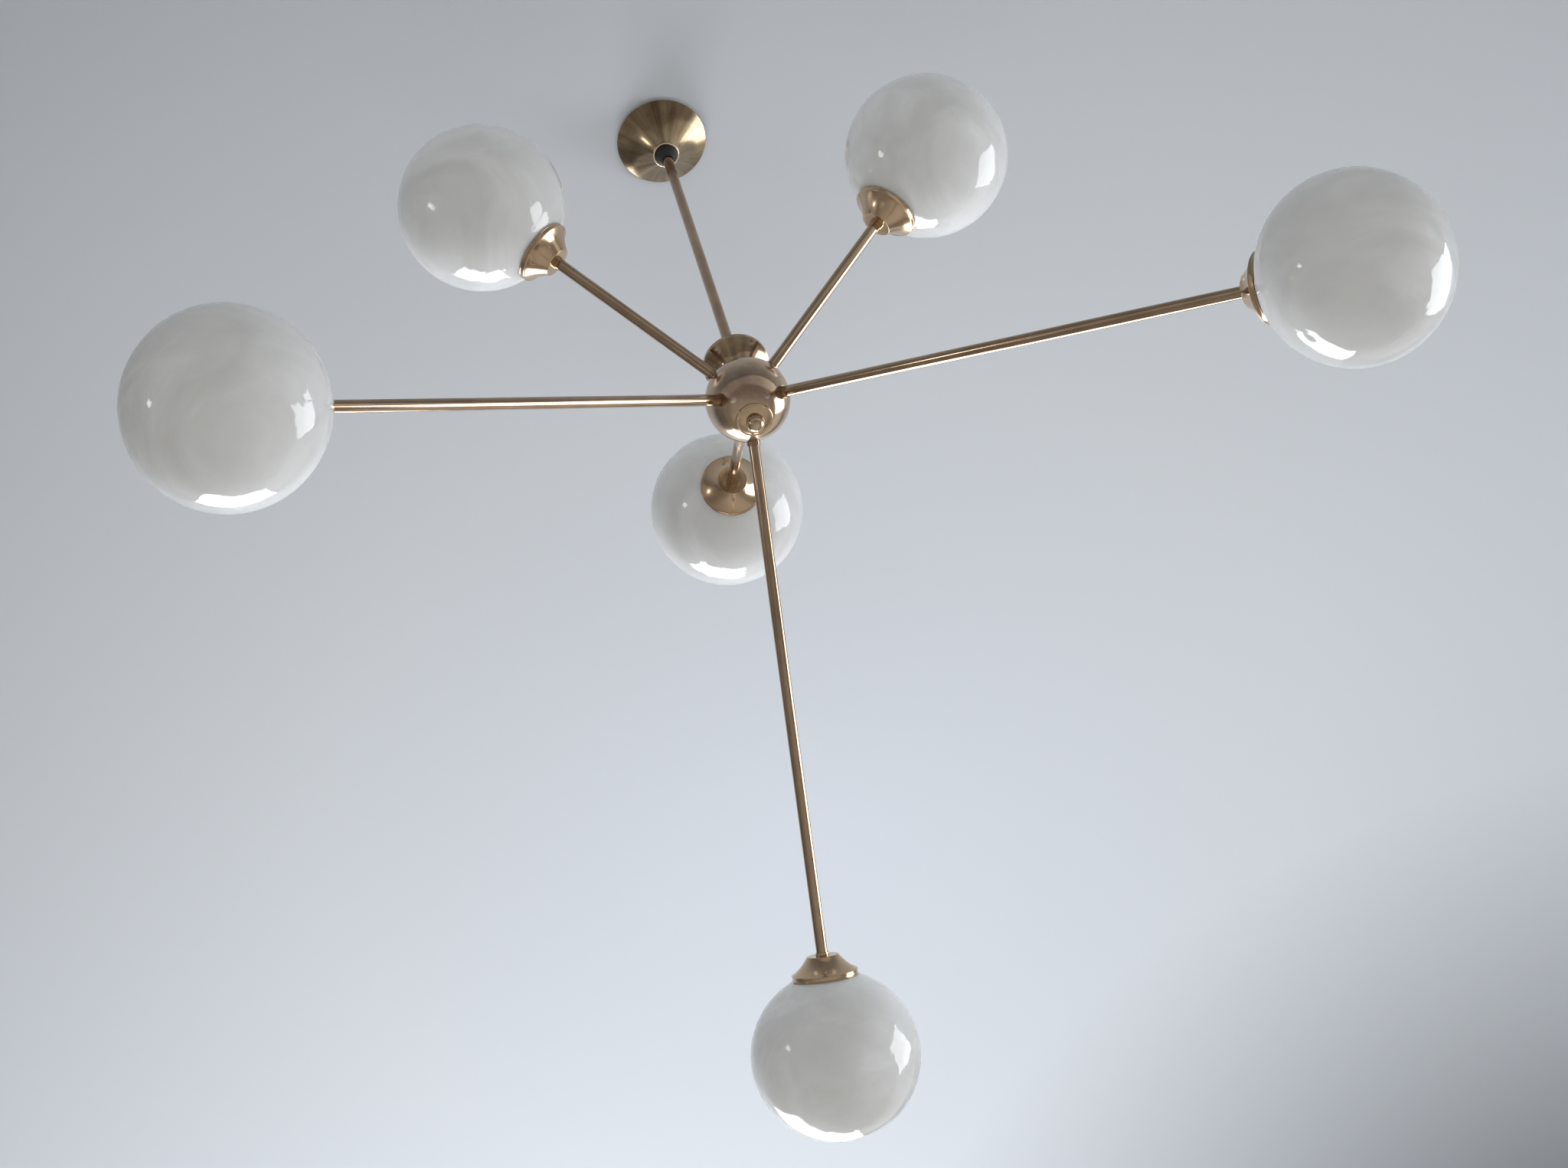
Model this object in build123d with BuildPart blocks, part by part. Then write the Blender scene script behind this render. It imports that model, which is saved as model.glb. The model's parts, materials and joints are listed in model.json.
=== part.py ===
from build123d import *
import os
from math import cos, radians, sin, sqrt

# Sputnik chandelier: six opal glass globes on brass arms round a brass ball, hung on a ceiling hook.
# Frame: origin in the middle of the ceiling plate's top face, +Z up, +X over the first pair of arms.
# All sizes are in millimetres.

# ---- driving dimensions ----
hub_drop = 546.0                # ceiling to the middle of the hub ball
ball_radius = 37.5
ball_wall = 1.5
tube_radius = 5.0               # stem and arms are the same lighting tube, M10 at its ends
tube_bore = 4.0
thread_gap = 0.05               # radial room of a tube or rod in the hole that it passes
turning_gap = 0.3               # room between curved faces that move past each other
arm_azimuths = (0.0, 120.0, 240.0)
lower_reach = 580.0             # hub centre to globe centre
lower_slope = -34.1
upper_reach = 306.0
upper_slope = 39.4
globe_radius = 75.0
glass_wall = 3.0
neck_radius = 23.0              # outside of the globe's threaded neck
neck_top = 75.9                 # globe centre to the end of the neck
sheet = 0.8                     # spun brass sheet
cap_height = 19.5               # globe cap and hub cup, plate to rim
cap_rim_radius = 29.5
cap_plate_radius = 13.9
cap_plate = 1.0                 # thickness of the plate at the top of a cap
cap_band_start = 15.2           # plate to where the straight band round the rim begins
flank_outside = ((14.2, 0.4), (20.6, 8.3), (28.9, 14.8))      # (radius, depth below the plate)
flank_inside = ((28.2, 15.3), (20.0, 8.9), (13.6, 1.0))
cap_plate_height = 89.1         # globe centre to the outer face of the cap's plate
thread_ring_low = 73.9          # the cap's threaded ring, from the globe centre
thread_ring_high = 76.2
thread_ring_wide = 28.5         # outer radius of the ring where it meets the cap's flank
thread_ring_narrow = 25.7
seal_low = 71.6
seal_gap = 0.4                  # room round the seal when it isn't squeezed
seal_radius = 26.6
holder_radius = 12.0
holder_skirt = 1.2              # how much the holder's skirt stands out from its barrel
skirt_end = 65.0                # globe centre to the holder's step
holder_shoulder = 82.5
holder_crown = 87.8
holder_crown_radius = 6.8
contact_radius = 1.5            # hole in the holder's floor behind the bulb's centre contact
wire_room_radius = 3.8          # room for the wires above the floor
holder_mouth = 52.0             # globe centre to the mouth of the lampholder
holder_floor = 75.0
holder_floor_thickness = 2.0
tube_end = 80.0                 # globe centre to the end of the arm, inside the lampholder
tube_start = 27.5               # hub centre to the arm's inner end
bulb_tip = -24.0                # globe centre to the tip of the bulb
bulb_seat = 50.4                # globe centre to where the bulb's glass leaves its metal cap
bulb_neck = 47.0
bulb_neck_radius = 6.4
bulb_waist = (14.0, 30.0)       # (radius, height from the globe centre)
bulb_belly = (17.5, 13.0)
bulb_cheek = (13.2, -8.0)
bulb_tip_radius = 1.2
bulb_wall = 1.0
bulb_cap_radius = 6.9
bulb_cap_shoulder = 70.5
bulb_contact_top = 72.5
bulb_contact_radius = 4.0
canopy_rim_radius = 46.5
canopy_rim_drop = 4.0           # room between the ceiling and the canopy's rim
canopy_rim_sheet = 1.1
canopy_flank = (28.9, -18.9)    # (radius, height) half way down the outside of the bell
canopy_shoulder = (13.3, -36.0)
canopy_nose_drop = 37.4
canopy_nose_radius = 12.2
canopy_hole = 10.7
grommet_top_drop = 35.3
grommet_lip_radius = 11.6
grommet_flange_radius = 12.1
grommet_flange_drop = 38.6
grommet_end_radius = 6.2
grommet_end_drop = 53.5
cup_plate_rise = 46.5           # hub centre to the cup's plate
plate_radius = 30.0
plate_thickness = 3.0
plate_hole_radius = 2.25
plate_hole_spacing = 44.0
hook_radius = 6.5               # middle of the hook's wire
hook_wire = 2.0
hook_drop = 12.0                # ceiling to the middle of the hook's eye
hook_sweep = 280.0              # degrees of the eye that the wire goes round
bail_radius = 11.6              # middle of the bail's wire
bail_wire = 1.5
pin_drop = 28.5                 # ceiling to the bail's pins
stem_top_drop = 30.8
stem_end_rise = 24.0            # hub centre to the stem's lower end, inside the ball
spacer_radius = 9.0
collar_start = 36.0             # hub centre to where collars begin, before the ball's shape is cut away
face_gap = 0.1                  # room between flat faces that are held against each other
core_radius = 0.9               # one insulated wire
core_pitch = 2.1
arm_core_offset = 1.15
wire_end_gap = 0.5
wire_start = 11.0               # hub centre to where an arm's wires leave the hub's terminal block
nut_radius = 8.08               # corner of an M10 hexagon nut, 14 across its flats
nut_height = 4.0
rod_radius = 3.0                # M6
rod_nut_radius = 5.77
rod_nut_height = 3.0
rod_end = -45.0
dome_radius = 16.5
dome_rim = -34.35
dome_edge = -35.2               # lower end of the cover's rim band
dome_mid_radius = 10.0
dome_mid = -37.4
dome_low = -38.5
knob_radius = 8.2
knob_middle = -41.0
knob_top = -38.9

# ---- places ----
tube_hole = tube_radius + thread_gap
rod_hole = rod_radius + thread_gap
neck_room = neck_radius + turning_gap
holder_bore = bulb_cap_radius + turning_gap + face_gap
hub_centre = Vector(0, 0, -hub_drop)
ceiling_profile = Plane.XZ                                            # local (radius, Z)
hub_profile = Plane(origin=hub_centre, x_dir=(1, 0, 0), z_dir=(0, -1, 0))   # local (radius, height)
hub_level = Plane(origin=hub_centre)
arms = []
for number, azimuth in enumerate(arm_azimuths, start=1):
    arms.append((f"lower_{{}}_{number}", azimuth, lower_slope, lower_reach))
    arms.append((f"upper_{{}}_{number}", azimuth, upper_slope, upper_reach))


def arm_direction(azimuth, slope):
    flat = cos(radians(slope))
    return Vector(flat * cos(radians(azimuth)), flat * sin(radians(azimuth)), sin(radians(slope)))


def sideways(azimuth):
    return Vector(-sin(radians(azimuth)), cos(radians(azimuth)), 0)


def arm_plane(azimuth, slope):
    """Plane at the hub centre whose Z runs out along the arm."""
    return Plane(origin=hub_centre, x_dir=sideways(azimuth), z_dir=arm_direction(azimuth, slope))


def head_profile(azimuth, slope, reach):
    """Plane through a lamp head: X is the radius, Y the height from the globe centre towards the hub."""
    out = arm_direction(azimuth, slope)
    side = sideways(azimuth)
    return Plane(origin=hub_centre + out * reach, x_dir=side, z_dir=side.cross(out * -1))


def turn(plane, profile=None):
    """Revolve a profile, or the one just drawn, about its plane's Y axis."""
    revolve(profile, axis=Axis(plane.origin, plane.y_dir))


def tube_between(plane, start, end, outer, inner):
    """A ring along the plane's Z, from start to end."""
    with BuildSketch(plane.offset(start)) as ring:
        Circle(outer)
        Circle(inner, mode=Mode.SUBTRACT)
    extrude(ring.sketch, amount=end - start)


def hexagon_nut(plane, start, corner, height, bore):
    with BuildSketch(plane.offset(start)) as hexagon:
        RegularPolygon(corner, 6)
        Circle(bore, mode=Mode.SUBTRACT)
    extrude(hexagon.sketch, amount=height)


def bell_shell(plane):
    """Thin bell turned on its plane's Y: plate at the plane's origin, rim cap_height further on."""
    with BuildSketch(plane) as shell:
        with BuildLine():
            Polyline((tube_hole, 0), (cap_plate_radius, 0), flank_outside[0])
            ThreePointArc(*flank_outside)
            Polyline(
                flank_outside[2],
                (cap_rim_radius, cap_band_start),
                (cap_rim_radius, cap_height),
                (cap_rim_radius - sheet, cap_height),
                (cap_rim_radius - sheet, cap_band_start + sheet / 2),
                flank_inside[0],
            )
            ThreePointArc(*flank_inside)
            Polyline(flank_inside[2], (tube_hole, cap_plate), (tube_hole, 0))
        make_face()
    turn(plane, shell.sketch)


def save(part, name):
    part.label = name
    export_step(part, f"parts/{name}.step")


os.makedirs("parts", exist_ok=True)

# ---- ceiling plate with its hook ----
with BuildPart() as ceiling_plate:
    with BuildSketch(Plane.XY.offset(-plate_thickness)):
        Circle(plate_radius)
        with GridLocations(plate_hole_spacing, 0, 2, 1):
            Circle(plate_hole_radius, mode=Mode.SUBTRACT)
    extrude(amount=plate_thickness)
    with BuildSketch(Plane.XY.offset(-plate_thickness)):
        Circle(hook_wire + thread_gap)
    extrude(amount=plate_thickness / 2, mode=Mode.SUBTRACT)
save(ceiling_plate.part, "ceiling_plate")

with BuildPart() as ceiling_hook:
    with BuildLine(Plane.XZ) as hook_line:
        CenterArc((0, -hook_drop), hook_radius, 90, -hook_sweep)
    with BuildSketch(Plane(origin=hook_line.wire() @ 0, z_dir=hook_line.wire() % 0)):
        Circle(hook_wire)
    sweep()
    with BuildSketch(Plane.XY.offset(-hook_drop + hook_radius)):
        Circle(hook_wire)
    extrude(amount=hook_drop - hook_radius - plate_thickness / 2)
save(ceiling_hook.part, "ceiling_hook")

# ---- bail: a wire arch that hangs in the hook, its ends turned in to make two pins ----
arch_drop = hook_drop + hook_radius - hook_wire - bail_wire - turning_gap + bail_radius
pin_tip = 6.6
pin_bend = 2.0
with BuildPart() as hanging_bail:
    with BuildLine(Plane.YZ) as bail_line:
        FilletPolyline(
            (-pin_tip, -pin_drop), (-bail_radius, -pin_drop), (-bail_radius, -arch_drop), radius=pin_bend
        )
        ThreePointArc(
            (-bail_radius, -arch_drop), (0, bail_radius - arch_drop), (bail_radius, -arch_drop)
        )
        FilletPolyline(
            (bail_radius, -arch_drop), (bail_radius, -pin_drop), (pin_tip, -pin_drop), radius=pin_bend
        )
    with BuildSketch(Plane(origin=bail_line.wire() @ 0, z_dir=bail_line.wire() % 0)):
        Circle(bail_wire)
    sweep()
save(hanging_bail.part, "hanging_bail")

# ---- clevis: screwed on the stem's top end, with an ear each side for the bail's pins ----
clevis_top_drop = 31.3
clevis_bottom_drop = 34.3
ear_half_width = 4.0
ear_inner = 7.2
ear_outer = 9.8
ear_foot = clevis_bottom_drop - 0.5
clevis_radius = 10.5
with BuildPart() as stem_clevis:
    tube_between(Plane.XY, -clevis_bottom_drop, -clevis_top_drop, clevis_radius, tube_hole)
    for side in (-ear_outer, ear_inner):
        with BuildSketch(Plane(origin=(0, side, 0), x_dir=(1, 0, 0), z_dir=(0, 1, 0))):
            with Locations((0, pin_drop)):
                Circle(ear_half_width)
            with Locations((0, (pin_drop + ear_foot) / 2)):
                Rectangle(2 * ear_half_width, ear_foot - pin_drop)
            with Locations((0, pin_drop)):
                Circle(bail_wire + thread_gap, mode=Mode.SUBTRACT)
        extrude(amount=ear_outer - ear_inner)
save(stem_clevis.part, "stem_clevis")

# ---- stem ----
with BuildPart() as stem_tube:
    tube_between(Plane.XY, stem_end_rise - hub_drop, -stem_top_drop, tube_radius, tube_bore)
save(stem_tube.part, "stem_tube")

# ---- canopy: spun bell over the hook, with a turned-in lip at its nose ----
canopy_nose_turn = (canopy_shoulder[0] - 0.2, canopy_shoulder[1] - 1)
inner_shoulder = (canopy_shoulder[0] - 0.55, canopy_shoulder[1] + 0.6)
inner_flank = (canopy_flank[0] - 0.6, canopy_flank[1] + 0.6)
inner_rim_radius = canopy_rim_radius - canopy_rim_sheet
with BuildPart() as canopy:
    with BuildSketch(ceiling_profile):
        with BuildLine():
            ThreePointArc((canopy_rim_radius, -canopy_rim_drop), canopy_flank, canopy_shoulder)
            ThreePointArc(canopy_shoulder, canopy_nose_turn, (canopy_nose_radius, -canopy_nose_drop))
            Polyline(
                (canopy_nose_radius, -canopy_nose_drop),
                (canopy_hole, -canopy_nose_drop),
                (canopy_hole, sheet - canopy_nose_drop),
                (canopy_nose_radius - 0.2, sheet - canopy_nose_drop),
                inner_shoulder,
            )
            ThreePointArc(inner_shoulder, inner_flank, (inner_rim_radius, -canopy_rim_drop))
            Line((inner_rim_radius, -canopy_rim_drop), (canopy_rim_radius, -canopy_rim_drop))
        make_face()
    turn(ceiling_profile)
save(canopy.part, "canopy")

# ---- grommet: grips the stem, carries the canopy in its groove ----
groove_radius = canopy_hole - 0.4
groove_low = canopy_nose_drop + turning_gap
groove_high = canopy_nose_drop - sheet - turning_gap
with BuildPart() as canopy_grommet:
    with BuildSketch(ceiling_profile):
        with BuildLine():
            Polyline(
                (tube_hole, -grommet_top_drop),
                (grommet_lip_radius, -grommet_top_drop),
                (grommet_lip_radius, -groove_high),
                (groove_radius, -groove_high),
                (groove_radius, -groove_low),
                (grommet_flange_radius, -groove_low),
                (grommet_flange_radius, -grommet_flange_drop),
                (grommet_end_radius, -grommet_end_drop),
                (tube_hole, -grommet_end_drop),
                close=True,
            )
        make_face()
    turn(ceiling_profile)
save(canopy_grommet.part, "canopy_grommet")

# ---- hub cup above the ball, with its spacer, and the two nuts that hold cup and ball on the stem ----
cup_plane = Plane(origin=hub_centre + Vector(0, 0, cup_plate_rise), x_dir=(1, 0, 0), z_dir=(0, -1, 0))
with BuildPart() as hub_cup:
    bell_shell(cup_plane)
save(hub_cup.part, "hub_cup")

seat_radius = ball_radius + thread_gap
with BuildPart() as cup_spacer:
    tube_between(hub_level, collar_start, cup_plate_rise - face_gap, spacer_radius, tube_hole)
    with Locations(hub_centre):
        Sphere(seat_radius, mode=Mode.SUBTRACT)
save(cup_spacer.part, "cup_spacer")

ball_nut_rise = 31.0
cup_nut_rise = cup_plate_rise + cap_plate + face_gap
with BuildPart() as stem_nuts:
    for rise in (ball_nut_rise, cup_nut_rise):
        hexagon_nut(hub_level, rise, nut_radius, nut_height, tube_hole)
save(stem_nuts.part, "stem_nuts")

# ---- hub ball: one spun shell with a hole for the stem, six for the arms, one for wiring below ----
wiring_hole = 11.0
with BuildPart() as hub_ball:
    with Locations(hub_centre):
        Sphere(ball_radius)
        Sphere(ball_radius - ball_wall, mode=Mode.SUBTRACT)
    with BuildSketch(hub_level):
        Circle(tube_hole)
    extrude(amount=ball_radius + 1, mode=Mode.SUBTRACT)
    with BuildSketch(hub_level):
        Circle(wiring_hole)
    extrude(amount=-ball_radius - 1, mode=Mode.SUBTRACT)
    for _, azimuth, slope, _ in arms:
        with BuildSketch(arm_plane(azimuth, slope)):
            Circle(tube_hole)
        extrude(amount=ball_radius + 1, mode=Mode.SUBTRACT)
save(hub_ball.part, "hub_ball")

# ---- yoke inside the ball: screwed on the stem's end, holds the rod of the finial ----
yoke_top = 27.0
yoke_bottom = -23.0
yoke_plate = 3.0
yoke_strap = 2.0
yoke_half_span = 12.0
yoke_width = 7.0
with BuildPart() as wiring_yoke:
    with BuildSketch(Plane(origin=hub_centre, x_dir=(0, 1, 0), z_dir=(1, 0, 0)).offset(-yoke_width / 2)):
        with Locations((0, (yoke_top + yoke_bottom) / 2)):
            Rectangle(2 * yoke_half_span, yoke_top - yoke_bottom)
            Rectangle(
                2 * (yoke_half_span - yoke_strap),
                yoke_top - yoke_bottom - 2 * yoke_plate,
                mode=Mode.SUBTRACT,
            )
    extrude(amount=yoke_width)
    with BuildSketch(hub_level.offset(yoke_top - yoke_plate)):
        Circle(nut_radius)
    extrude(amount=yoke_plate)
    with BuildSketch(hub_level.offset(yoke_top - yoke_plate)):
        Circle(tube_hole)
    extrude(amount=yoke_plate, mode=Mode.SUBTRACT)
    with BuildSketch(hub_level.offset(yoke_bottom)):
        Circle(rod_nut_radius)
    extrude(amount=yoke_plate)
    with BuildSketch(hub_level.offset(yoke_bottom)):
        Circle(rod_hole)
    extrude(amount=yoke_plate, mode=Mode.SUBTRACT)
save(wiring_yoke.part, "wiring_yoke")

# ---- finial: rod with two nuts, dished cover over the wiring hole, ball knob ----
rod_top = yoke_bottom + yoke_plate + rod_nut_height + 1     # 1 mm of thread past the upper nut
with BuildPart() as finial_rod:
    with BuildSketch(hub_level.offset(rod_end)):
        Circle(rod_radius)
    extrude(amount=rod_top - rod_end)
save(finial_rod.part, "finial_rod")

with BuildPart() as rod_nuts:
    for rise in (yoke_bottom + yoke_plate, yoke_bottom - rod_nut_height):
        hexagon_nut(hub_level, rise, rod_nut_radius, rod_nut_height, rod_hole)
save(rod_nuts.part, "rod_nuts")

dome_hole = rod_radius + turning_gap
dome_inner_edge = (dome_radius - sheet, dome_edge + 0.5)
with BuildPart() as finial_dome:
    with BuildSketch(hub_profile):
        with BuildLine():
            Polyline((dome_radius - sheet, dome_rim), (dome_radius, dome_rim), (dome_radius, dome_edge))
            ThreePointArc((dome_radius, dome_edge), (dome_mid_radius, dome_mid), (dome_hole, dome_low))
            Line((dome_hole, dome_low), (dome_hole, dome_low + sheet))
            ThreePointArc(
                (dome_hole, dome_low + sheet), (dome_mid_radius, dome_mid + sheet), dome_inner_edge
            )
            Line(dome_inner_edge, (dome_radius - sheet, dome_rim))
        make_face()
    turn(hub_profile)
save(finial_dome.part, "finial_dome")

knob_flat = sqrt(knob_radius**2 - (knob_top - knob_middle) ** 2)
knob_bore_end = rod_end - 0.6
knob_cheek = radians(35)
with BuildPart() as finial_knob:
    with BuildSketch(hub_profile):
        with BuildLine():
            Line((rod_hole, knob_top), (knob_flat, knob_top))
            ThreePointArc(
                (knob_flat, knob_top),
                (knob_radius * cos(knob_cheek), knob_middle - knob_radius * sin(knob_cheek)),
                (0, knob_middle - knob_radius),
            )
            Polyline(
                (0, knob_middle - knob_radius),
                (0, knob_bore_end),
                (rod_hole, knob_bore_end),
                (rod_hole, knob_top),
            )
        make_face()
    turn(hub_profile)
save(finial_knob.part, "finial_knob")

# ---- terminal blocks and the supply wires between them ----
block_x = 20.0                  # the block under the canopy stands beside the hook
block_low = -18.0
block_size = (12.0, 22.0, 12.0)
block_corner = 1.5
block_screw = (1.6, 3.0)        # radius and depth of a screw recess
block_screw_pitch = 6.7
block_screw_rise = 8.0
with BuildPart() as canopy_terminal_block:
    with BuildSketch(Plane.XY.offset(block_low)):
        with Locations((block_x, 0)):
            RectangleRounded(block_size[0], block_size[1], block_corner)
    extrude(amount=block_size[2])
    block_face = Plane(
        origin=(block_x + block_size[0] / 2, 0, block_low + block_screw_rise),
        x_dir=(0, 1, 0),
        z_dir=(1, 0, 0),
    )
    with BuildSketch(block_face):
        with GridLocations(block_screw_pitch, 0, 3, 1):
            Circle(block_screw[0])
    extrude(amount=-block_screw[1], mode=Mode.SUBTRACT)
save(canopy_terminal_block.part, "canopy_terminal_block")

hub_block_radius = 7.0
hub_block_half = 9.0
with BuildPart() as hub_terminal_block:
    with BuildSketch(hub_level.offset(-hub_block_half)):
        RegularPolygon(hub_block_radius, 6)
    extrude(amount=2 * hub_block_half)
save(hub_terminal_block.part, "hub_terminal_block")

wire_turn_drop = 24.5
wire_bend = 6.0
with BuildPart() as supply_wires:
    for side in (-core_pitch, 0, core_pitch):
        wire_plane = Plane(origin=(0, side, 0), x_dir=(1, 0, 0), z_dir=(0, -1, 0))
        with BuildLine(wire_plane) as core_line:
            FilletPolyline(
                (0, hub_block_half + face_gap - hub_drop),
                (0, -wire_turn_drop),
                (block_x, -wire_turn_drop),
                (block_x, block_low - face_gap),
                radius=wire_bend,
            )
        with BuildSketch(Plane(origin=core_line.wire() @ 0, z_dir=core_line.wire() % 0)):
            Circle(core_radius)
        sweep()
save(supply_wires.part, "supply_wires")

# ---- what the arms share: wires, the collars and nuts that hold them in the ball, the caps' collars ----
with BuildPart() as arm_wires:
    for _, azimuth, slope, reach in arms:
        with BuildSketch(arm_plane(azimuth, slope).offset(wire_start)):
            with GridLocations(0, 2 * arm_core_offset, 1, 2):
                Circle(core_radius)
        extrude(amount=reach - holder_floor - holder_floor_thickness - wire_end_gap - wire_start)
save(arm_wires.part, "arm_wires")

root_collar_radius = 6.0
root_collar_end = 40.6
with BuildPart() as arm_root_collars:
    for _, azimuth, slope, _ in arms:
        collar_plane = arm_plane(azimuth, slope)
        tube_between(collar_plane, collar_start, root_collar_end, root_collar_radius, tube_hole)
    with Locations(hub_centre):
        Sphere(seat_radius, mode=Mode.SUBTRACT)
save(arm_root_collars.part, "arm_root_collars")

with BuildPart() as arm_root_nuts:
    for _, azimuth, slope, _ in arms:
        nut_plane = arm_plane(azimuth, slope)
        hexagon_nut(nut_plane, ball_nut_rise, nut_radius, nut_height, tube_hole)
save(arm_root_nuts.part, "arm_root_nuts")

end_collar_radius = 6.0
end_collar_length = 2.5
with BuildPart() as arm_end_collars:
    for _, azimuth, slope, reach in arms:
        collar_end = reach - cap_plate_height - face_gap
        tube_between(
            arm_plane(azimuth, slope),
            collar_end - end_collar_length,
            collar_end,
            end_collar_radius,
            tube_hole,
        )
save(arm_end_collars.part, "arm_end_collars")

bulb_contact = 2.5
cap_seat = bulb_seat + face_gap
contact_end = holder_floor - seal_gap
with BuildPart() as bulb_caps:
    for _, azimuth, slope, reach in arms:
        plane = head_profile(azimuth, slope, reach)
        with BuildSketch(plane):
            Polygon(
                (0, cap_seat),
                (bulb_cap_radius, cap_seat),
                (bulb_cap_radius, bulb_cap_shoulder),
                (bulb_contact_radius, bulb_contact_top),
                (bulb_contact, contact_end),
                (0, contact_end),
                align=None,
            )
        turn(plane)
save(bulb_caps.part, "bulb_caps")

# ---- the six lamps: arm, cap, lampholder, bulb, seal and globe ----
for name, azimuth, slope, reach in arms:
    plane = head_profile(azimuth, slope, reach)
    out = arm_direction(azimuth, slope)

    with BuildPart() as arm:
        tube_between(arm_plane(azimuth, slope), tube_start, reach - tube_end, tube_radius, tube_bore)
    save(arm.part, name.format("arm"))

    bell_plane = Plane(
        origin=plane.origin - out * cap_plate_height, x_dir=plane.x_dir, z_dir=plane.x_dir.cross(out)
    )
    with BuildPart() as cap:
        bell_shell(bell_plane)
        with BuildSketch(plane):
            Polygon(
                (neck_room, thread_ring_low),
                (thread_ring_wide, thread_ring_low),
                (thread_ring_narrow, thread_ring_high),
                (neck_room, thread_ring_high),
                align=None,
            )
        turn(plane)
    save(cap.part, name.format("cap"))

    with BuildPart() as holder:
        with BuildSketch(plane):
            Polygon(
                (tube_hole, holder_crown),
                (holder_crown_radius, holder_crown),
                (holder_radius, holder_shoulder),
                (holder_radius, skirt_end + 1),
                (holder_radius + holder_skirt, skirt_end),
                (holder_radius + holder_skirt, holder_mouth),
                (holder_bore, holder_mouth),
                (holder_bore, holder_floor),
                (contact_radius, holder_floor),
                (contact_radius, holder_floor + holder_floor_thickness),
                (wire_room_radius, holder_floor + holder_floor_thickness),
                (wire_room_radius, tube_end),
                (tube_hole, tube_end),
                align=None,
            )
        turn(plane)
    save(holder.part, name.format("holder"))

    with BuildPart() as bulb:
        with BuildSketch(plane):
            with BuildLine():
                Line((bulb_neck_radius, bulb_seat), (bulb_neck_radius, bulb_neck))
                ThreePointArc((bulb_neck_radius, bulb_neck), bulb_waist, bulb_belly)
                ThreePointArc(bulb_belly, bulb_cheek, (bulb_tip_radius, bulb_tip))
                Polyline(
                    (bulb_tip_radius, bulb_tip),
                    (0, bulb_tip),
                    (0, bulb_tip + bulb_wall),
                    (bulb_tip_radius, bulb_tip + bulb_wall),
                )
                ThreePointArc(
                    (bulb_tip_radius, bulb_tip + bulb_wall),
                    (bulb_cheek[0] - bulb_wall, bulb_cheek[1] + 0.5),
                    (bulb_belly[0] - bulb_wall, bulb_belly[1]),
                )
                ThreePointArc(
                    (bulb_belly[0] - bulb_wall, bulb_belly[1]),
                    (bulb_waist[0] - bulb_wall, bulb_waist[1]),
                    (bulb_neck_radius - bulb_wall, bulb_neck),
                )
                Polyline(
                    (bulb_neck_radius - bulb_wall, bulb_neck),
                    (bulb_neck_radius - bulb_wall, bulb_seat),
                    (bulb_neck_radius, bulb_seat),
                )
            make_face()
        turn(plane)
    save(bulb.part, name.format("bulb"))

    with BuildPart() as seal:
        with BuildSketch(plane):
            Polygon(
                (neck_radius + seal_gap, seal_low),
                (seal_radius, seal_low),
                (seal_radius, thread_ring_low - seal_gap),
                (neck_radius + seal_gap, thread_ring_low - seal_gap),
                align=None,
            )
        turn(plane)
    save(seal.part, name.format("seal"))

    inside = globe_radius - glass_wall
    neck_bore = neck_radius - glass_wall
    shoulder = (neck_radius, sqrt(globe_radius**2 - neck_radius**2))
    throat = (neck_bore, sqrt(inside**2 - neck_bore**2))
    with BuildPart() as globe:
        with BuildSketch(plane):
            with BuildLine():
                Polyline(throat, (neck_bore, neck_top), (neck_radius, neck_top), shoulder)
                ThreePointArc(shoulder, (globe_radius, 0), (0, -globe_radius))
                Line((0, -globe_radius), (0, -inside))
                ThreePointArc((0, -inside), (inside, 0), throat)
            make_face()
        turn(plane)
    save(globe.part, name.format("globe"))
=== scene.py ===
import json
import math

import bpy
from mathutils import Matrix, Vector, noise

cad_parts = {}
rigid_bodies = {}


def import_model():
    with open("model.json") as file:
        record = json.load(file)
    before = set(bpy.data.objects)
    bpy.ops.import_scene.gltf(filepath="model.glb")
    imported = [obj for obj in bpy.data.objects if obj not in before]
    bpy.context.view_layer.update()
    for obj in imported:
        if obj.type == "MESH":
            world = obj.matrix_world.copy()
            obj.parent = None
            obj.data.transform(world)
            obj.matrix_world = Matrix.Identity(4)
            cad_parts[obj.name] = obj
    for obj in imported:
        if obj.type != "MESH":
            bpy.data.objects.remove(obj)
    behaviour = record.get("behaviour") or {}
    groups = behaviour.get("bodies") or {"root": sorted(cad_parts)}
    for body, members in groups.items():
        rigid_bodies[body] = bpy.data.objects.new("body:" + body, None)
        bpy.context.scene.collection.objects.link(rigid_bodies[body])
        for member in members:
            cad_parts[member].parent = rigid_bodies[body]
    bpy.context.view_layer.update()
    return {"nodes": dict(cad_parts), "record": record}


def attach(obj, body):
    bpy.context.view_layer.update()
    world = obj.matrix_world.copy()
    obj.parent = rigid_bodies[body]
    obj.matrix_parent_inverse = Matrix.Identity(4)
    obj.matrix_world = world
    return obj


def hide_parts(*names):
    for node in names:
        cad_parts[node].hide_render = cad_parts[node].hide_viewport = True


for left_over in list(bpy.data.objects):
    bpy.data.objects.remove(left_over)

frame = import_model()

# ---- driving sizes and places, in millimetres, as in the solids ----
MM = 0.001                              # one millimetre in Blender's metres
UP = Vector((0, 0, 1))
CEILING_POINT = Vector((0, 0, 0))
HUB = Vector((0, 0, -546.0))            # middle of the ball that the arms leave
SHEET = 0.8                             # thickness of the spun brass

TUBE_RADIUS, TUBE_BORE = 5.0, 4.0
TUBE_HOLE = 5.05                        # radius of a hole that a tube goes through
TUBE_START = 27.5                       # from the hub to an arm tube's inner end
TUBE_TO_GLOBE = 80.0                    # from an arm tube's outer end to the globe's middle

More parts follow.
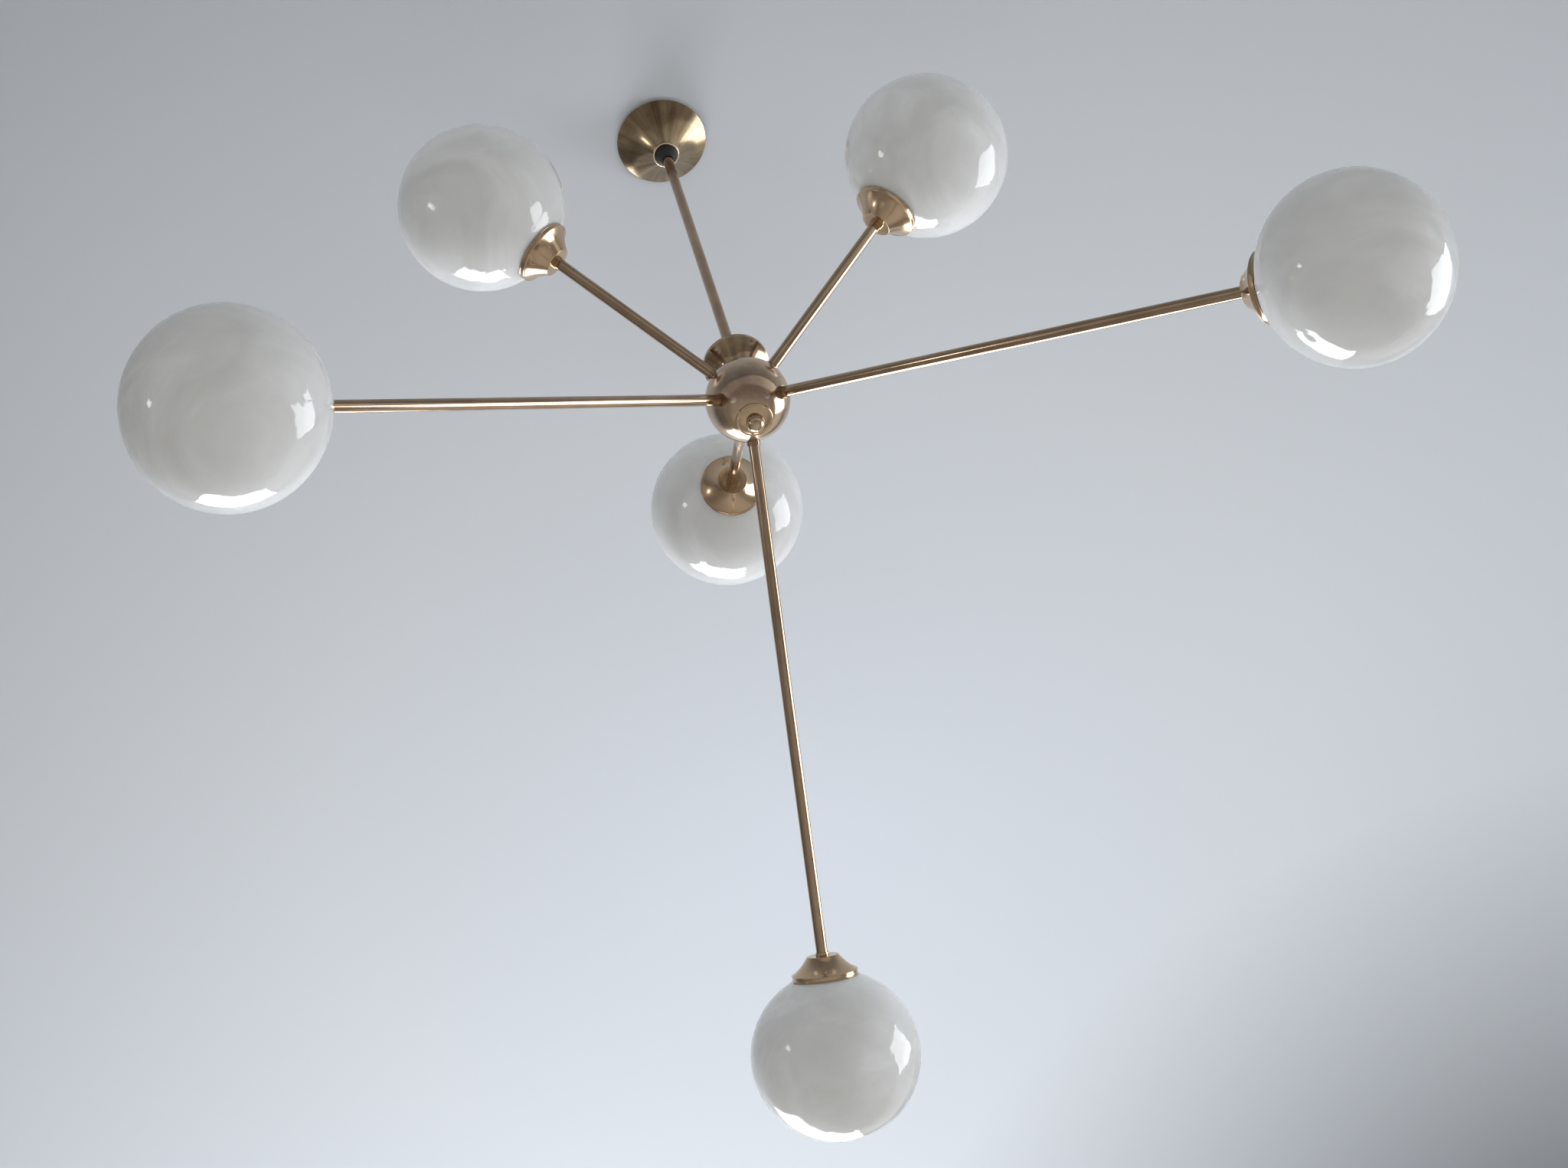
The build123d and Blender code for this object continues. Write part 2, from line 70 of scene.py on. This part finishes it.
GLOBE, GLASS = 75.0, 3.0                # radius of a globe, thickness of its wall
NECK, NECK_TOP = 23.0, 75.9             # radius of its neck, and the neck's end from the globe's middle

CAP_PLATE, CAP_RIM = 13.9, 29.5         # radius of a cap's flat top and of its rim
CAP_HEIGHT = 19.5
CAP_PLATE_HEIGHT = 89.1                 # from the globe's middle to the cap's flat top

ROD_HOLE = 3.1                          # radius of the hole for the finial's rod

AZIMUTHS = (0.0, 120.0, 240.0)          # degrees round Z
# pattern of the names, degrees above level, and length from the hub to the globe's middle
ARM_KINDS = (("lower_{}_", -34.1, 580.0), ("upper_{}_", 39.4, 306.0))


# ---- mesh helpers ----
def direction(azimuth, slope):
    """Unit vector at the given degrees round Z and above level."""
    a, s = math.radians(azimuth), math.radians(slope)
    return Vector((math.cos(s) * math.cos(a), math.cos(s) * math.sin(a), math.sin(s)))


def arc(start, middle, end, steps):
    """Points of the circle through three points, from start to end."""
    (ax, ay), (bx, by), (cx, cy) = start, middle, end
    a2, b2, c2 = ax**2 + ay**2, bx**2 + by**2, cx**2 + cy**2
    d = 2 * (ax * (by - cy) + bx * (cy - ay) + cx * (ay - by))
    mid_x = (a2 * (by - cy) + b2 * (cy - ay) + c2 * (ay - by)) / d
    mid_y = (a2 * (cx - bx) + b2 * (ax - cx) + c2 * (bx - ax)) / d
    radius = math.hypot(ax - mid_x, ay - mid_y)
    first, via, last = (math.atan2(y - mid_y, x - mid_x) for x, y in (start, middle, end))
    sweep = (last - first) % math.tau
    if (via - first) % math.tau > sweep:
        sweep -= math.tau
    angles = [first + sweep * i / steps for i in range(steps + 1)]
    return [(mid_x + radius * math.cos(t), mid_y + radius * math.sin(t)) for t in angles]


def circle_line(radius, first, last, steps):
    """Points of a circle about the origin, from one angle to another."""
    angles = [first + (last - first) * i / steps for i in range(steps + 1)]
    return [(radius * math.cos(t), radius * math.sin(t)) for t in angles]


def soften(profile, radius, closed=True):
    """Rounds the sharp corners of a profile. An open profile keeps its two ends."""
    sharp_turn = 20.0                   # degrees
    most_of_a_side = 0.45
    nothing = 1e-6
    made = []
    for i, here in enumerate(profile):
        if not closed and i in (0, len(profile) - 1):
            made.append(here)
            continue
        point = Vector(here)
        back = Vector(profile[i - 1]) - point
        on = Vector(profile[(i + 1) % len(profile)]) - point
        if back.length < nothing or on.length < nothing:
            continue
        if math.degrees((-back).angle(on)) < sharp_turn:
            made.append(here)
            continue
        reach = min(radius, back.length * most_of_a_side, on.length * most_of_a_side)
        start, end = point + back.normalized() * reach, point + on.normalized() * reach
        for t in (0.0, 0.25, 0.5, 0.75, 1.0):
            bent = start * (1 - t) ** 2 + point * 2 * t * (1 - t) + end * t**2
            made.append((bent.x, bent.y))
    return made


def shaded_object(name, mesh):
    """Links a mesh, smooth except at its sharp edges, with its normals outwards."""
    sharp_angle = 42.0
    mesh.validate()
    mesh.polygons.foreach_set("use_smooth", [True] * len(mesh.polygons))
    piece = bpy.data.objects.new(name, mesh)
    bpy.context.scene.collection.objects.link(piece)
    volume = 0.0
    for face in mesh.polygons:
        points = [mesh.vertices[v].co for v in face.vertices]
        for k in range(1, len(points) - 1):
            volume += points[0].dot(points[k].cross(points[k + 1]))
    if volume < 0:
        mesh.flip_normals()
    mesh.set_sharp_from_angle(angle=math.radians(sharp_angle))
    mesh.update()
    return piece


def lathe(name, origin, axis, profile, segments, shift):
    """Turns a closed profile of (radius, height) about an axis. shift(point) may move a point."""
    on_axis = 1e-6
    axis = axis.normalized()
    side = axis.orthogonal().normalized()
    other = axis.cross(side)
    verts, rings = [], []
    for radius, height in profile:
        middle = origin + axis * height
        if radius < on_axis:
            rings.append([len(verts)])
            verts.append(middle)
            continue
        rings.append(range(len(verts), len(verts) + segments))
        for i in range(segments):
            t = math.tau * i / segments
            verts.append(middle + side * (radius * math.cos(t)) + other * (radius * math.sin(t)))
    faces = []
    for low, high in zip(rings, rings[1:] + rings[:1]):
        if len(low) == 1 and len(high) == 1:
            continue
        for i in range(segments):
            j = (i + 1) % segments
            if len(low) == 1:
                faces.append((low[0], high[j], high[i]))
            elif len(high) == 1:
                faces.append((low[i], low[j], high[0]))
            else:
                faces.append((low[i], low[j], high[j], high[i]))
    if shift:
        verts = [shift(v) for v in verts]
    mesh = bpy.data.meshes.new(name)
    mesh.from_pydata([tuple(v * MM) for v in verts], [], faces)
    return shaded_object(name, mesh)


def turned(name, origin, axis, profile, material, body, slot, *node_names, segments=128, shift=None):
    """A turned piece with its material, that rides on a body and stands for the named nodes."""
    piece = lathe(name, origin, axis, profile, segments, shift)
    piece.data.materials.append(material)
    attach(piece, body)
    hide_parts(*node_names)
    return piece


# ---- material helpers ----
class Nodes:
    """A short way to write the node tree of a material or a world."""

    def __init__(self, owner):
        owner.use_nodes = True
        self.owner = owner
        self.tree = owner.node_tree
        self.shader = self.tree.nodes.get("Principled BSDF")

    def add(self, kind, sockets=None, **settings):
        """A new node with its settings, and the values of its named sockets."""
        node = self.tree.nodes.new(kind)
        for name, value in settings.items():
            setattr(node, name, value)
        for name, value in (sockets or {}).items():
            node.inputs[name].default_value = value
        return node

    def link(self, source, node, socket):
        self.tree.links.new(source, node.inputs[socket])

    def set_shader(self, **values):
        """Sets the shader's own sockets, named with _ for a space."""
        for name, value in values.items():
            self.shader.inputs[name.replace("_", " ")].default_value = value

    def place(self, output="Object"):
        return self.add("ShaderNodeTexCoord").outputs[output]

    def mapped(self, source, **sockets):
        node = self.add("ShaderNodeMapping", sockets)
        self.link(source, node, "Vector")
        return node.outputs["Vector"]

    def noise_at(self, source, scale, detail, roughness=0.5, distortion=0.0):
        sockets = {"Scale": scale, "Detail": detail, "Roughness": roughness, "Distortion": distortion}
        node = self.add("ShaderNodeTexNoise", sockets)
        self.link(source, node, "Vector")
        return node.outputs["Fac"]

    def grain(self, scale, detail=3.0, **more):
        """Noise in the object's own coordinates."""
        return self.noise_at(self.place(), scale, detail, **more)

    def spokes(self, scale):
        """Noise that only changes with the angle about the Z axis: painted reflections, in the radial
        streaks that spun metal shows.
        """
        flat = self.add("ShaderNodeVectorMath", operation="MULTIPLY")
        flat.inputs[1].default_value = (1, 1, 0)
        rim = self.add("ShaderNodeVectorMath", operation="NORMALIZE")
        self.link(self.place(), flat, 0)
        self.link(flat.outputs["Vector"], rim, 0)
        return self.noise_at(rim.outputs["Vector"], scale, 3.0)

    def mix(self, first, second, share):
        node = self.add("ShaderNodeMix", {"Factor": share})
        self.link(first, node, "A")
        self.link(second, node, "B")
        return node.outputs["Result"]

    def ramp(self, source, *stops):
        """Colour of a value, from stops of (value, colour)."""
        node = self.add("ShaderNodeValToRGB")
        band = node.color_ramp.elements
        while len(band) < len(stops):
            band.new(0.5)
        for element, (at, colour) in zip(band, stops):
            element.position = at
            element.color = (*colour, 1)
        self.link(source, node, "Fac")
        return node.outputs["Color"]

    def span(self, source, low, high, start=0.0, end=1.0):
        """A value that runs from low to high as the source runs from start to end."""
        sockets = {"From Min": start, "From Max": end, "To Min": low, "To Max": high}
        node = self.add("ShaderNodeMapRange", sockets)
        self.link(source, node, "Value")
        return node.outputs["Result"]

    def scaled(self, colour, amount):
        node = self.add("ShaderNodeVectorMath", operation="SCALE")
        self.link(colour, node, 0)
        self.link(amount, node, "Scale")
        return node.outputs["Vector"]

    def nearness(self, source, centre, reach):
        """1 at the centre, and 0 from the given distance on."""
        location = [-c / reach for c in centre]
        near = self.mapped(source, Location=location, Scale=(1 / reach,) * 3)
        node = self.add("ShaderNodeTexGradient", gradient_type="SPHERICAL")
        self.link(near, node, "Vector")
        return node.outputs["Fac"]

    def bump(self, source, strength, distance):
        node = self.add("ShaderNodeBump", {"Strength": strength, "Distance": distance})
        self.link(source, node, "Height")
        self.link(node.outputs["Normal"], self.shader, "Normal")


FINE_WAVE = 0.00003                     # metres of bump on a smooth surface


def brass(name, pale, deep, roughness, patch=14.0, wave=FINE_WAVE, spun=0.0, painted_streaks=0.0):
    """Lacquered brass: patches of two tones, worn gloss, and on a spun piece its round brush marks. Radial
    streaks mixed into the colour, where asked, are painted reflections.
    """
    m = Nodes(bpy.data.materials.new(name))
    tone = m.grain(patch, detail=5.0, roughness=0.6)
    if painted_streaks:
        # painted reflections: radial streaks of dark and pale mixed into the random patches of tone
        tone = m.mix(tone, m.spokes(painted_streaks), 0.6)
    m.link(m.ramp(tone, (0.32, deep), (0.62, pale)), m.shader, "Base Color")
    wear = m.grain(55.0, detail=6.0, roughness=0.65)
    m.link(m.span(wear, *roughness, start=0.35, end=0.7), m.shader, "Roughness")
    m.bump(m.grain(45.0, detail=2.0), 0.35, wave)
    m.set_shader(Metallic=1.0)
    if spun:
        m.set_shader(Anisotropic=spun)
        tangent = m.add("ShaderNodeTangent", direction_type="RADIAL", axis="Z")
        m.link(tangent.outputs["Tangent"], m.shader, "Tangent")
    return m.owner


def opal_glass(name, deep, middle, pale):
    """White glass that light enters, with faint wisps and a slightly uneven skin."""
    m = Nodes(bpy.data.materials.new(name))
    stretched = m.mapped(m.place(), Scale=(1.0, 1.0, 2.2))
    wisps = m.noise_at(stretched, 9.0, 4.0, roughness=0.55, distortion=1.6)
    m.link(m.ramp(wisps, (0.30, deep), (0.52, middle), (0.70, pale)), m.shader, "Base Color")
    m.bump(m.grain(60.0, detail=1.0, distortion=1.0), 0.9, 0.0004)
    m.set_shader(Roughness=0.03, IOR=1.5)
    m.set_shader(Subsurface_Weight=1.0, Subsurface_Radius=(1.0, 0.97, 0.9), Subsurface_Scale=0.008)
    return m.owner


def plain(name, dark, pale, roughness, scale=90.0, metallic=0.0):
    """A fine-grained surface in two close tones."""
    m = Nodes(bpy.data.materials.new(name))
    grain = m.grain(scale, detail=5.0, roughness=0.6)
    m.link(m.ramp(grain, (0.3, dark), (0.7, pale)), m.shader, "Base Color")
    m.link(m.span(grain, roughness * 0.85, roughness * 1.15, 0.3, 0.7), m.shader, "Roughness")
    m.bump(m.grain(scale * 4), 0.5, FINE_WAVE)
    m.set_shader(Metallic=metallic)
    return m.owner


# ---- materials: name, pale tone, deep tone, lowest and highest roughness ----
BRASS = brass("polished_brass", (0.62, 0.47, 0.31), (0.52, 0.37, 0.245), (0.13, 0.22))
# painted shade: a darker copy of the brass, for the dark sides of the arm tubes
SHADED_TUBE_BRASS = brass("tube_brass_painted_shade", (0.50, 0.365, 0.25), (0.38, 0.27, 0.185), (0.09, 0.16), patch=22.0)
# painted shade: a still darker copy of the brass, for the dim stem
SHADED_STEM_BRASS = brass("stem_brass_painted_shade", (0.42, 0.285, 0.185), (0.29, 0.19, 0.12), (0.10, 0.18), patch=24.0)
BALL_BRASS = brass("ball_brass", (0.70, 0.55, 0.38), (0.42, 0.30, 0.23), (0.12, 0.20), patch=30.0)
# painted shade: the darkest copy of the brass, for the shade where the arms meet the ball
SHADED_COLLAR_BRASS = brass("collar_brass_painted_shade", (0.36, 0.26, 0.18), (0.27, 0.19, 0.13), (0.16, 0.22), wave=0.0)
# painted highlight: the palest copy of the brass, which keeps the nose bead bright all round
HIGHLIGHT_RING_BRASS = brass("ring_brass_painted_highlight", (0.80, 0.70, 0.52), (0.66, 0.55, 0.38), (0.22, 0.30))
# painted reflections: a near-black deep tone and radial streaks on the hub cup, over random patches
CUP_BRASS = brass(
    "cup_brass_painted_streaks", (0.55, 0.42, 0.28), (0.12, 0.07, 0.05), (0.10, 0.16), patch=42.0, spun=0.8, painted_streaks=2.4
)
# painted reflections: a near-black deep tone and radial streaks on the canopy, over random patches
CANOPY_BRASS = brass(
    "spun_brass_painted_streaks", (0.46, 0.36, 0.23), (0.13, 0.08, 0.05), (0.13, 0.20), patch=34.0, spun=0.75, painted_streaks=4.0
)
OPAL = opal_glass("opal_glass", (0.61, 0.62, 0.615), (0.665, 0.68, 0.68), (0.74, 0.755, 0.76))
# name, dark tone, pale tone, roughness
RUBBER = plain("black_rubber", (0.006, 0.006, 0.006), (0.014, 0.013, 0.012), 0.6)
STEEL = plain("zinc_plated_steel", (0.48, 0.48, 0.50), (0.60, 0.60, 0.60), 0.32, scale=60.0, metallic=1.0)
WIRE = plain("wire_insulation", (0.60, 0.57, 0.50), (0.72, 0.70, 0.63), 0.45)
TERMINAL = plain("terminal_plastic", (0.70, 0.69, 0.66), (0.80, 0.79, 0.77), 0.42)
HOLDER = plain("holder_plastic", (0.62, 0.61, 0.57), (0.72, 0.71, 0.67), 0.40)
BULB_METAL = plain("bulb_cap_metal", (0.60, 0.60, 0.61), (0.72, 0.72, 0.72), 0.28, scale=80.0, metallic=1.0)
BULB = plain("frosted_bulb_glass", (0.78, 0.78, 0.76), (0.86, 0.86, 0.84), 0.35)

MATERIAL_OF_SLOT = {
    "brass": BRASS,
    "canopy_brass": CANOPY_BRASS,
    "opal_glass": OPAL,
    "bulb_glass": BULB,
    "bulb_metal": BULB_METAL,
    "holder_plastic": HOLDER,
    "terminal_plastic": TERMINAL,
    "rubber": RUBBER,
    "wire": WIRE,
    "steel": STEEL,
}
MATERIAL_OF_NODE = {
    "stem_tube": SHADED_STEM_BRASS,
    "hub_cup": CUP_BRASS,
    "hub_ball": BALL_BRASS,
    "arm_root_collars": SHADED_COLLAR_BRASS,
}
for entry in frame["record"]["subparts"]:
    own_materials = frame["nodes"][entry["node"]].data.materials
    own_materials.clear()
    own_materials.append(MATERIAL_OF_NODE.get(entry["node"], MATERIAL_OF_SLOT[entry["material_slot"]]))


# ---- profiles of the turned pieces: (radius, height), in millimetres ----
def bell_profile():
    """Globe cap, measured from its flat top, with a rolled bead at each edge of its rim band."""
    flank_top, flank_middle, flank_foot = (14.2, 0.4), (20.6, 8.3), (28.6, 14.6)
    flank = arc(flank_top, flank_middle, flank_foot, steps=28)
    upper_bead = arc(flank_foot, (CAP_RIM, 15.1), (28.9, 15.65), steps=6)[1:]
    lower_bead = arc((28.9, 18.4), (CAP_RIM, 18.95), (28.95, CAP_HEIGHT), steps=8)
    outside = [(TUBE_HOLE, 0.0), (CAP_PLATE, 0.0)] + flank + upper_bead + lower_bead
    band = [(CAP_RIM - SHEET, CAP_HEIGHT - 0.2), (CAP_RIM - SHEET - 0.5, 15.9)]
    inside = band + arc((28.1, 15.4), (20.0, 8.9), (13.6, 1.0), steps=28) + [(TUBE_HOLE, 1.0)]
    return soften(outside + inside, radius=0.25)


def ring_profile():
    """The threaded ring inside a cap, measured from the globe's middle. It takes the globe's neck."""
    bore = NECK + 0.3
    bottom, top = 73.9, 76.2
    return soften([(bore, bottom), (28.4, bottom), (25.6, top), (bore, top)], radius=0.2)


def canopy_profile():
    """Spun bell with a rolled lip round its nose, measured from the ceiling."""
    outside = arc((46.5, -4.0), (28.9, -18.9), (13.5, -35.7), steps=48)
    lip = arc((13.15, -35.95), (13.75, -36.9), (12.7, -37.6), steps=10)
    lip += arc((12.5, -37.62), (11.8, -37.6), (11.1, -37.3), steps=5)
    edge = [(10.7, -37.0), (10.7, -36.6), (12.0, -36.5)]
    inside = arc((12.75, -35.4), (28.3, -18.3), (45.4, -4.0), steps=48)
    return soften(outside + lip + edge + inside, radius=0.3)


def nose_ring_profile():
    """The bead under the canopy's nose, measured from the ceiling. Its paler brass is a painted highlight.
    """
    outside = arc((12.6, -36.9), (13.6, -37.4), (12.6, -38.2), steps=12)
    return outside + arc((12.5, -38.2), (11.9, -38.1), (11.5, -37.6), steps=6)


def grommet_profile():
    """Rubber grommet, from the ceiling: top lip, groove for the canopy's edge, cone round the stem."""
    lip_radius, groove_radius, cone_radius = 11.6, 10.3, 11.2
    lip = [(TUBE_HOLE, -35.3), (lip_radius, -35.3), (lip_radius, -36.45)]
    groove = [(groove_radius, -36.45), (groove_radius, -37.5)]
    cone = [(cone_radius, -37.6), (cone_radius, -38.6), (9.7, -39.6), (6.7, -50.0), (6.0, -51.4)]
    return soften(lip + groove + cone + [(TUBE_HOLE, -51.4)], radius=0.35)


def cover_profile():
    """Finial cover, measured from the hub: rolled edge, a shallow groove inside it, then a low dome."""
    edge_radius, edge_top = 16.5, -34.35
    edge = arc((edge_radius, -34.7), (16.05, -35.95), (15.0, -36.3), steps=10)
    groove = arc((14.85, -36.3), (14.4, -36.0), (14.1, -36.05), steps=4)
    dome = arc((14.0, -36.1), (9.0, -37.75), (ROD_HOLE, -38.5), steps=20)
    inside = arc((ROD_HOLE, -38.5 + SHEET), (9.0, -36.95), (15.3, -35.0), steps=20)
    top = [(edge_radius - SHEET, edge_top), (edge_radius, edge_top)]
    return soften(top + edge + groove + dome + inside, radius=0.15)


def tube_profile(start, end):
    """An arm's tube between two distances from the hub."""
    outside, bore = [(TUBE_RADIUS, start), (TUBE_RADIUS, end)], [(TUBE_BORE, end), (TUBE_BORE, start)]
    return soften(outside + bore, radius=0.3)


def globe_profile():
    """Globe with its open neck, measured from the globe's middle."""
    lip, ring_gap = 2.0, 0.4
    inside, bore = GLOBE - GLASS, NECK - GLASS
    lip_foot = NECK_TOP - lip
    mouth = [(bore, lip_foot), (bore, NECK_TOP), (NECK, NECK_TOP), (NECK, lip_foot)]
    neck = soften(mouth, radius=0.6, closed=False) + [(NECK, lip_foot - ring_gap * i) for i in range(1, 6)]
    bottom = -math.pi / 2
    outer = circle_line(GLOBE, math.acos(NECK / GLOBE), bottom, steps=96)
    inner = circle_line(inside, bottom, math.acos(bore / inside), steps=48)
    return neck + outer + inner


def glass_wobble(seed, centre):
    """Hand-blown glass: moves a point of the round wall in or out by a few tenths of a millimetre."""
    wave_length, height, sink = 55.0, 0.22, 0.1
    wall_inside, wall_outside = GLOBE * 0.93, GLOBE * 1.001     # the neck's end is further out, and stays
    offset = Vector((seed * 7.3, seed * 3.1, 0))

    def moved(point):
        away = point - centre
        if away.length < wall_inside or away.length > wall_outside:
            return point
        drift = noise.noise(away / wave_length + offset)
        return point + away.normalized() * (height * drift - sink)

    return moved


# ---- turned pieces ----
turned("canopy_bell", CEILING_POINT, UP, canopy_profile(), CANOPY_BRASS, "canopy", "canopy_brass", "canopy")
# the nose bead's paler brass is a painted highlight
turned("canopy_nose_ring", CEILING_POINT, UP, nose_ring_profile(), HIGHLIGHT_RING_BRASS, "canopy", "canopy_brass")
turned("grommet_cone", CEILING_POINT, UP, grommet_profile(), RUBBER, "grommet", "rubber", "canopy_grommet")
turned("finial_cover", HUB, UP, cover_profile(), BRASS, "dome", "brass", "finial_dome")


def make_arm(pattern, azimuth, slope, reach, seed):
    """One arm's tube, cap, threaded ring and globe. The pattern makes a node's name from a kind."""
    arm, cap, globe, globe_body = (pattern.format(kind) for kind in ("arm", "cap", "globe", "globe_body"))
    out = direction(azimuth, slope)
    centre = HUB + out * reach
    seat = centre - out * CAP_PLATE_HEIGHT
    tube = tube_profile(TUBE_START, reach - TUBE_TO_GLOBE)
    wobble = glass_wobble(seed, centre)
    turned(arm + "_tube", HUB, out, tube, SHADED_TUBE_BRASS, "frame", "brass", arm, segments=64)
    turned(cap + "_bell", seat, out, bell_profile(), BRASS, "frame", "brass", cap)
    turned(cap + "_ring", centre, -out, ring_profile(), BRASS, "frame", "brass")
    turned(
        globe + "_glass",
        centre,
        -out,
        globe_profile(),
        OPAL,
        globe_body,
        "opal_glass",
        globe,
        segments=144,
        shift=wobble,
    )


arms = [
    (pattern + str(number), azimuth, slope, reach)
    for number, azimuth in enumerate(AZIMUTHS, start=1)
    for pattern, slope, reach in ARM_KINDS
]
for seed, arm in enumerate(arms, start=1):
    make_arm(*arm, seed)


# ---- stage: a panel above and a floor, in metres, each clear when seen from its back ----
def one_sided(name):
    """Matt paint that is clear from behind. Its colour is still to be linked."""
    m = Nodes(bpy.data.materials.new(name))
    m.set_shader(Roughness=0.9, Specular_IOR_Level=0.2)
    clear = m.add("ShaderNodeBsdfTransparent")
    geometry = m.add("ShaderNodeNewGeometry")
    either = m.add("ShaderNodeMixShader")
    m.link(geometry.outputs["Backfacing"], either, "Fac")
    m.link(m.shader.outputs["BSDF"], either, 1)
    m.link(clear.outputs["BSDF"], either, 2)
    m.link(either.outputs["Shader"], m.tree.nodes["Material Output"], "Surface")
    return m


def ceiling_paint():
    """Painted shade: palest near the chandelier, darker away from it, and darkest round one spot at the
    side.
    """
    m = one_sided("ceiling_paint")
    place = m.place()
    painted_falloff = m.ramp(
        m.nearness(place, centre=(-0.6, -0.75, 0.0), reach=2.1),
        (0.10, (0.30, 0.32, 0.35)),
        (0.42, (0.48, 0.51, 0.55)),
        (0.70, (0.60, 0.635, 0.68)),
        (1.0, (0.66, 0.705, 0.78)),
    )
    # painted shade: a dark patch round one spot at the side
    painted_dark_corner = m.nearness(place, centre=(-2.05, -1.15, 0.0), reach=1.0)
    m.link(m.scaled(painted_falloff, m.span(painted_dark_corner, 1.0, 0.35)), m.shader, "Base Color")
    return m.owner


def floor_paint():
    m = one_sided("floor_paint")
    tone = m.grain(0.6, detail=2.0)
    m.link(m.ramp(tone, (0.35, (0.49, 0.46, 0.42)), (0.65, (0.53, 0.50, 0.46))), m.shader, "Base Color")
    return m.owner


def square_with_hole(corners, hole, height):
    """Points and faces of a square with a round hole, from the square's edge to the hole's."""
    steps = 16
    verts = []
    for side, (x, y) in enumerate(corners):
        next_x, next_y = corners[(side + 1) % 4]
        for i in range(steps):
            along = i / steps
            angle = math.radians(-135 + 90 * (side + along))
            verts.append((x + (next_x - x) * along, y + (next_y - y) * along, height))
            verts.append((hole * math.cos(angle), hole * math.sin(angle), height))
    count = len(verts)
    return verts, [(i, (i + 2) % count, (i + 3) % count, i + 1) for i in range(0, count, 2)]


def panel(name, height, half, material, facing_down=False, hole=0.0):
    """A square stage panel, which may have a round hole in its middle."""
    corners = [(-half, -half), (half, -half), (half, half), (-half, half)]
    if hole:
        verts, faces = square_with_hole(corners, hole, height)
    else:
        verts, faces = [(x, y, height) for x, y in corners], [(0, 1, 2, 3)]
    if facing_down:
        faces = [tuple(reversed(face)) for face in faces]
    mesh = bpy.data.meshes.new(name)
    mesh.from_pydata(verts, [], faces)
    mesh.materials.append(material)
    board = bpy.data.objects.new(name, mesh)
    bpy.context.scene.collection.objects.link(board)


CEILING_GAP = 0.0006                    # the panel lies this far above the ceiling plate's top,
PLATE_HOLE = 0.0303                     # and has a hole of this radius over it
panel("stage_ceiling", CEILING_GAP, 4.0, ceiling_paint(), facing_down=True, hole=PLATE_HOLE)
panel("stage_floor", -3.1, 7.0, floor_paint())

# ---- light, in metres and watts ----
AIM = Vector((0, 0, -0.5))


def lamp(name, location, size, power, colour):
    """A soft rectangular lamp that points at the chandelier."""
    data = bpy.data.lights.new(name, "AREA")
    data.shape = "RECTANGLE"
    data.size, data.size_y = size
    data.energy = power
    data.color = colour
    light = bpy.data.objects.new(name, data)
    bpy.context.scene.collection.objects.link(light)
    light.location = location
    light.rotation_mode = "QUATERNION"
    light.rotation_quaternion = (AIM - Vector(location)).to_track_quat("-Z", "Y")
    return light


lamp("soft_right", AIM + Vector((-0.94, 0.31, -0.12)) * 3.2, (1.8, 1.8), 56, (0.93, 0.96, 1.0))
lamp("soft_front", AIM + Vector((-0.334, -0.94, -0.06)) * 3.2, (2.35, 1.5), 102, (0.95, 0.97, 1.0))
lamp("soft_left", AIM + Vector((0.961, -0.244, -0.111)) * 3.4, (0.3, 0.42), 3, (1.0, 0.95, 0.88))
fills = (
    lamp("soft_fill", (1.0, 1.8, -2.53), (3.6, 3.6), 27, (1.0, 0.99, 0.96)),
    lamp("soft_low", (0.1, -0.6, -2.3), (1.4, 1.4), 5, (1.0, 1.0, 1.0)),
    lamp("soft_top", (0, 0, -0.003), (4.5, 4.5), 20, (0.97, 0.98, 1.0)),
)
for unseen in fills:
    unseen.visible_glossy = False
    unseen.visible_camera = False

world = Nodes(bpy.data.worlds.new("soft_light"))
bpy.context.scene.world = world.owner
view = world.place("Generated")


def towards(way, start, end, low, high):
    """A value that runs from low to high as the light's direction comes nearer to the given way."""
    dot = world.add("ShaderNodeVectorMath", operation="DOT_PRODUCT")
    dot.inputs[1].default_value = way
    world.link(view, dot, 0)
    return world.span(dot.outputs["Value"], low, high, start, end)


side_to_side = towards((-0.87, 0.456, -0.176), -1.0, 1.0, 0.0, 1.0)
between_lamps = towards((0.50, -0.86, -0.06), 0.72, 0.97, 1.0, 0.4)
behind_camera = towards((0.46, 0.87, -0.16), 0.35, 0.95, 1.0, 0.72)
tint = world.ramp(side_to_side, (0.0, (0.38, 0.37, 0.36)), (0.9, (0.74, 0.73, 0.72)))
walls = world.scaled(world.scaled(tint, between_lamps), behind_camera)
world.link(walls, world.tree.nodes["Background"], "Color")

# ---- camera: where the photograph was taken from ----
camera_data = bpy.data.cameras.new("camera")
camera_data.sensor_width = 36.0
camera_data.lens = 61.23
camera = bpy.data.objects.new("camera", camera_data)
bpy.context.scene.collection.objects.link(camera)
camera_right = Vector((-0.872375, 0.455872, -0.176475))
camera_up = Vector((0.295853, 0.779755, 0.551772))
camera_back = Vector((0.389145, 0.429141, -0.81511))
camera_place = Matrix((camera_right, camera_up, camera_back)).transposed().to_4x4()
camera_place.translation = Vector((0.83234, 0.88981, -2.54186))
camera.matrix_world = camera_place
bpy.context.scene.camera = camera
bpy.context.scene.view_settings.view_transform = "Standard"
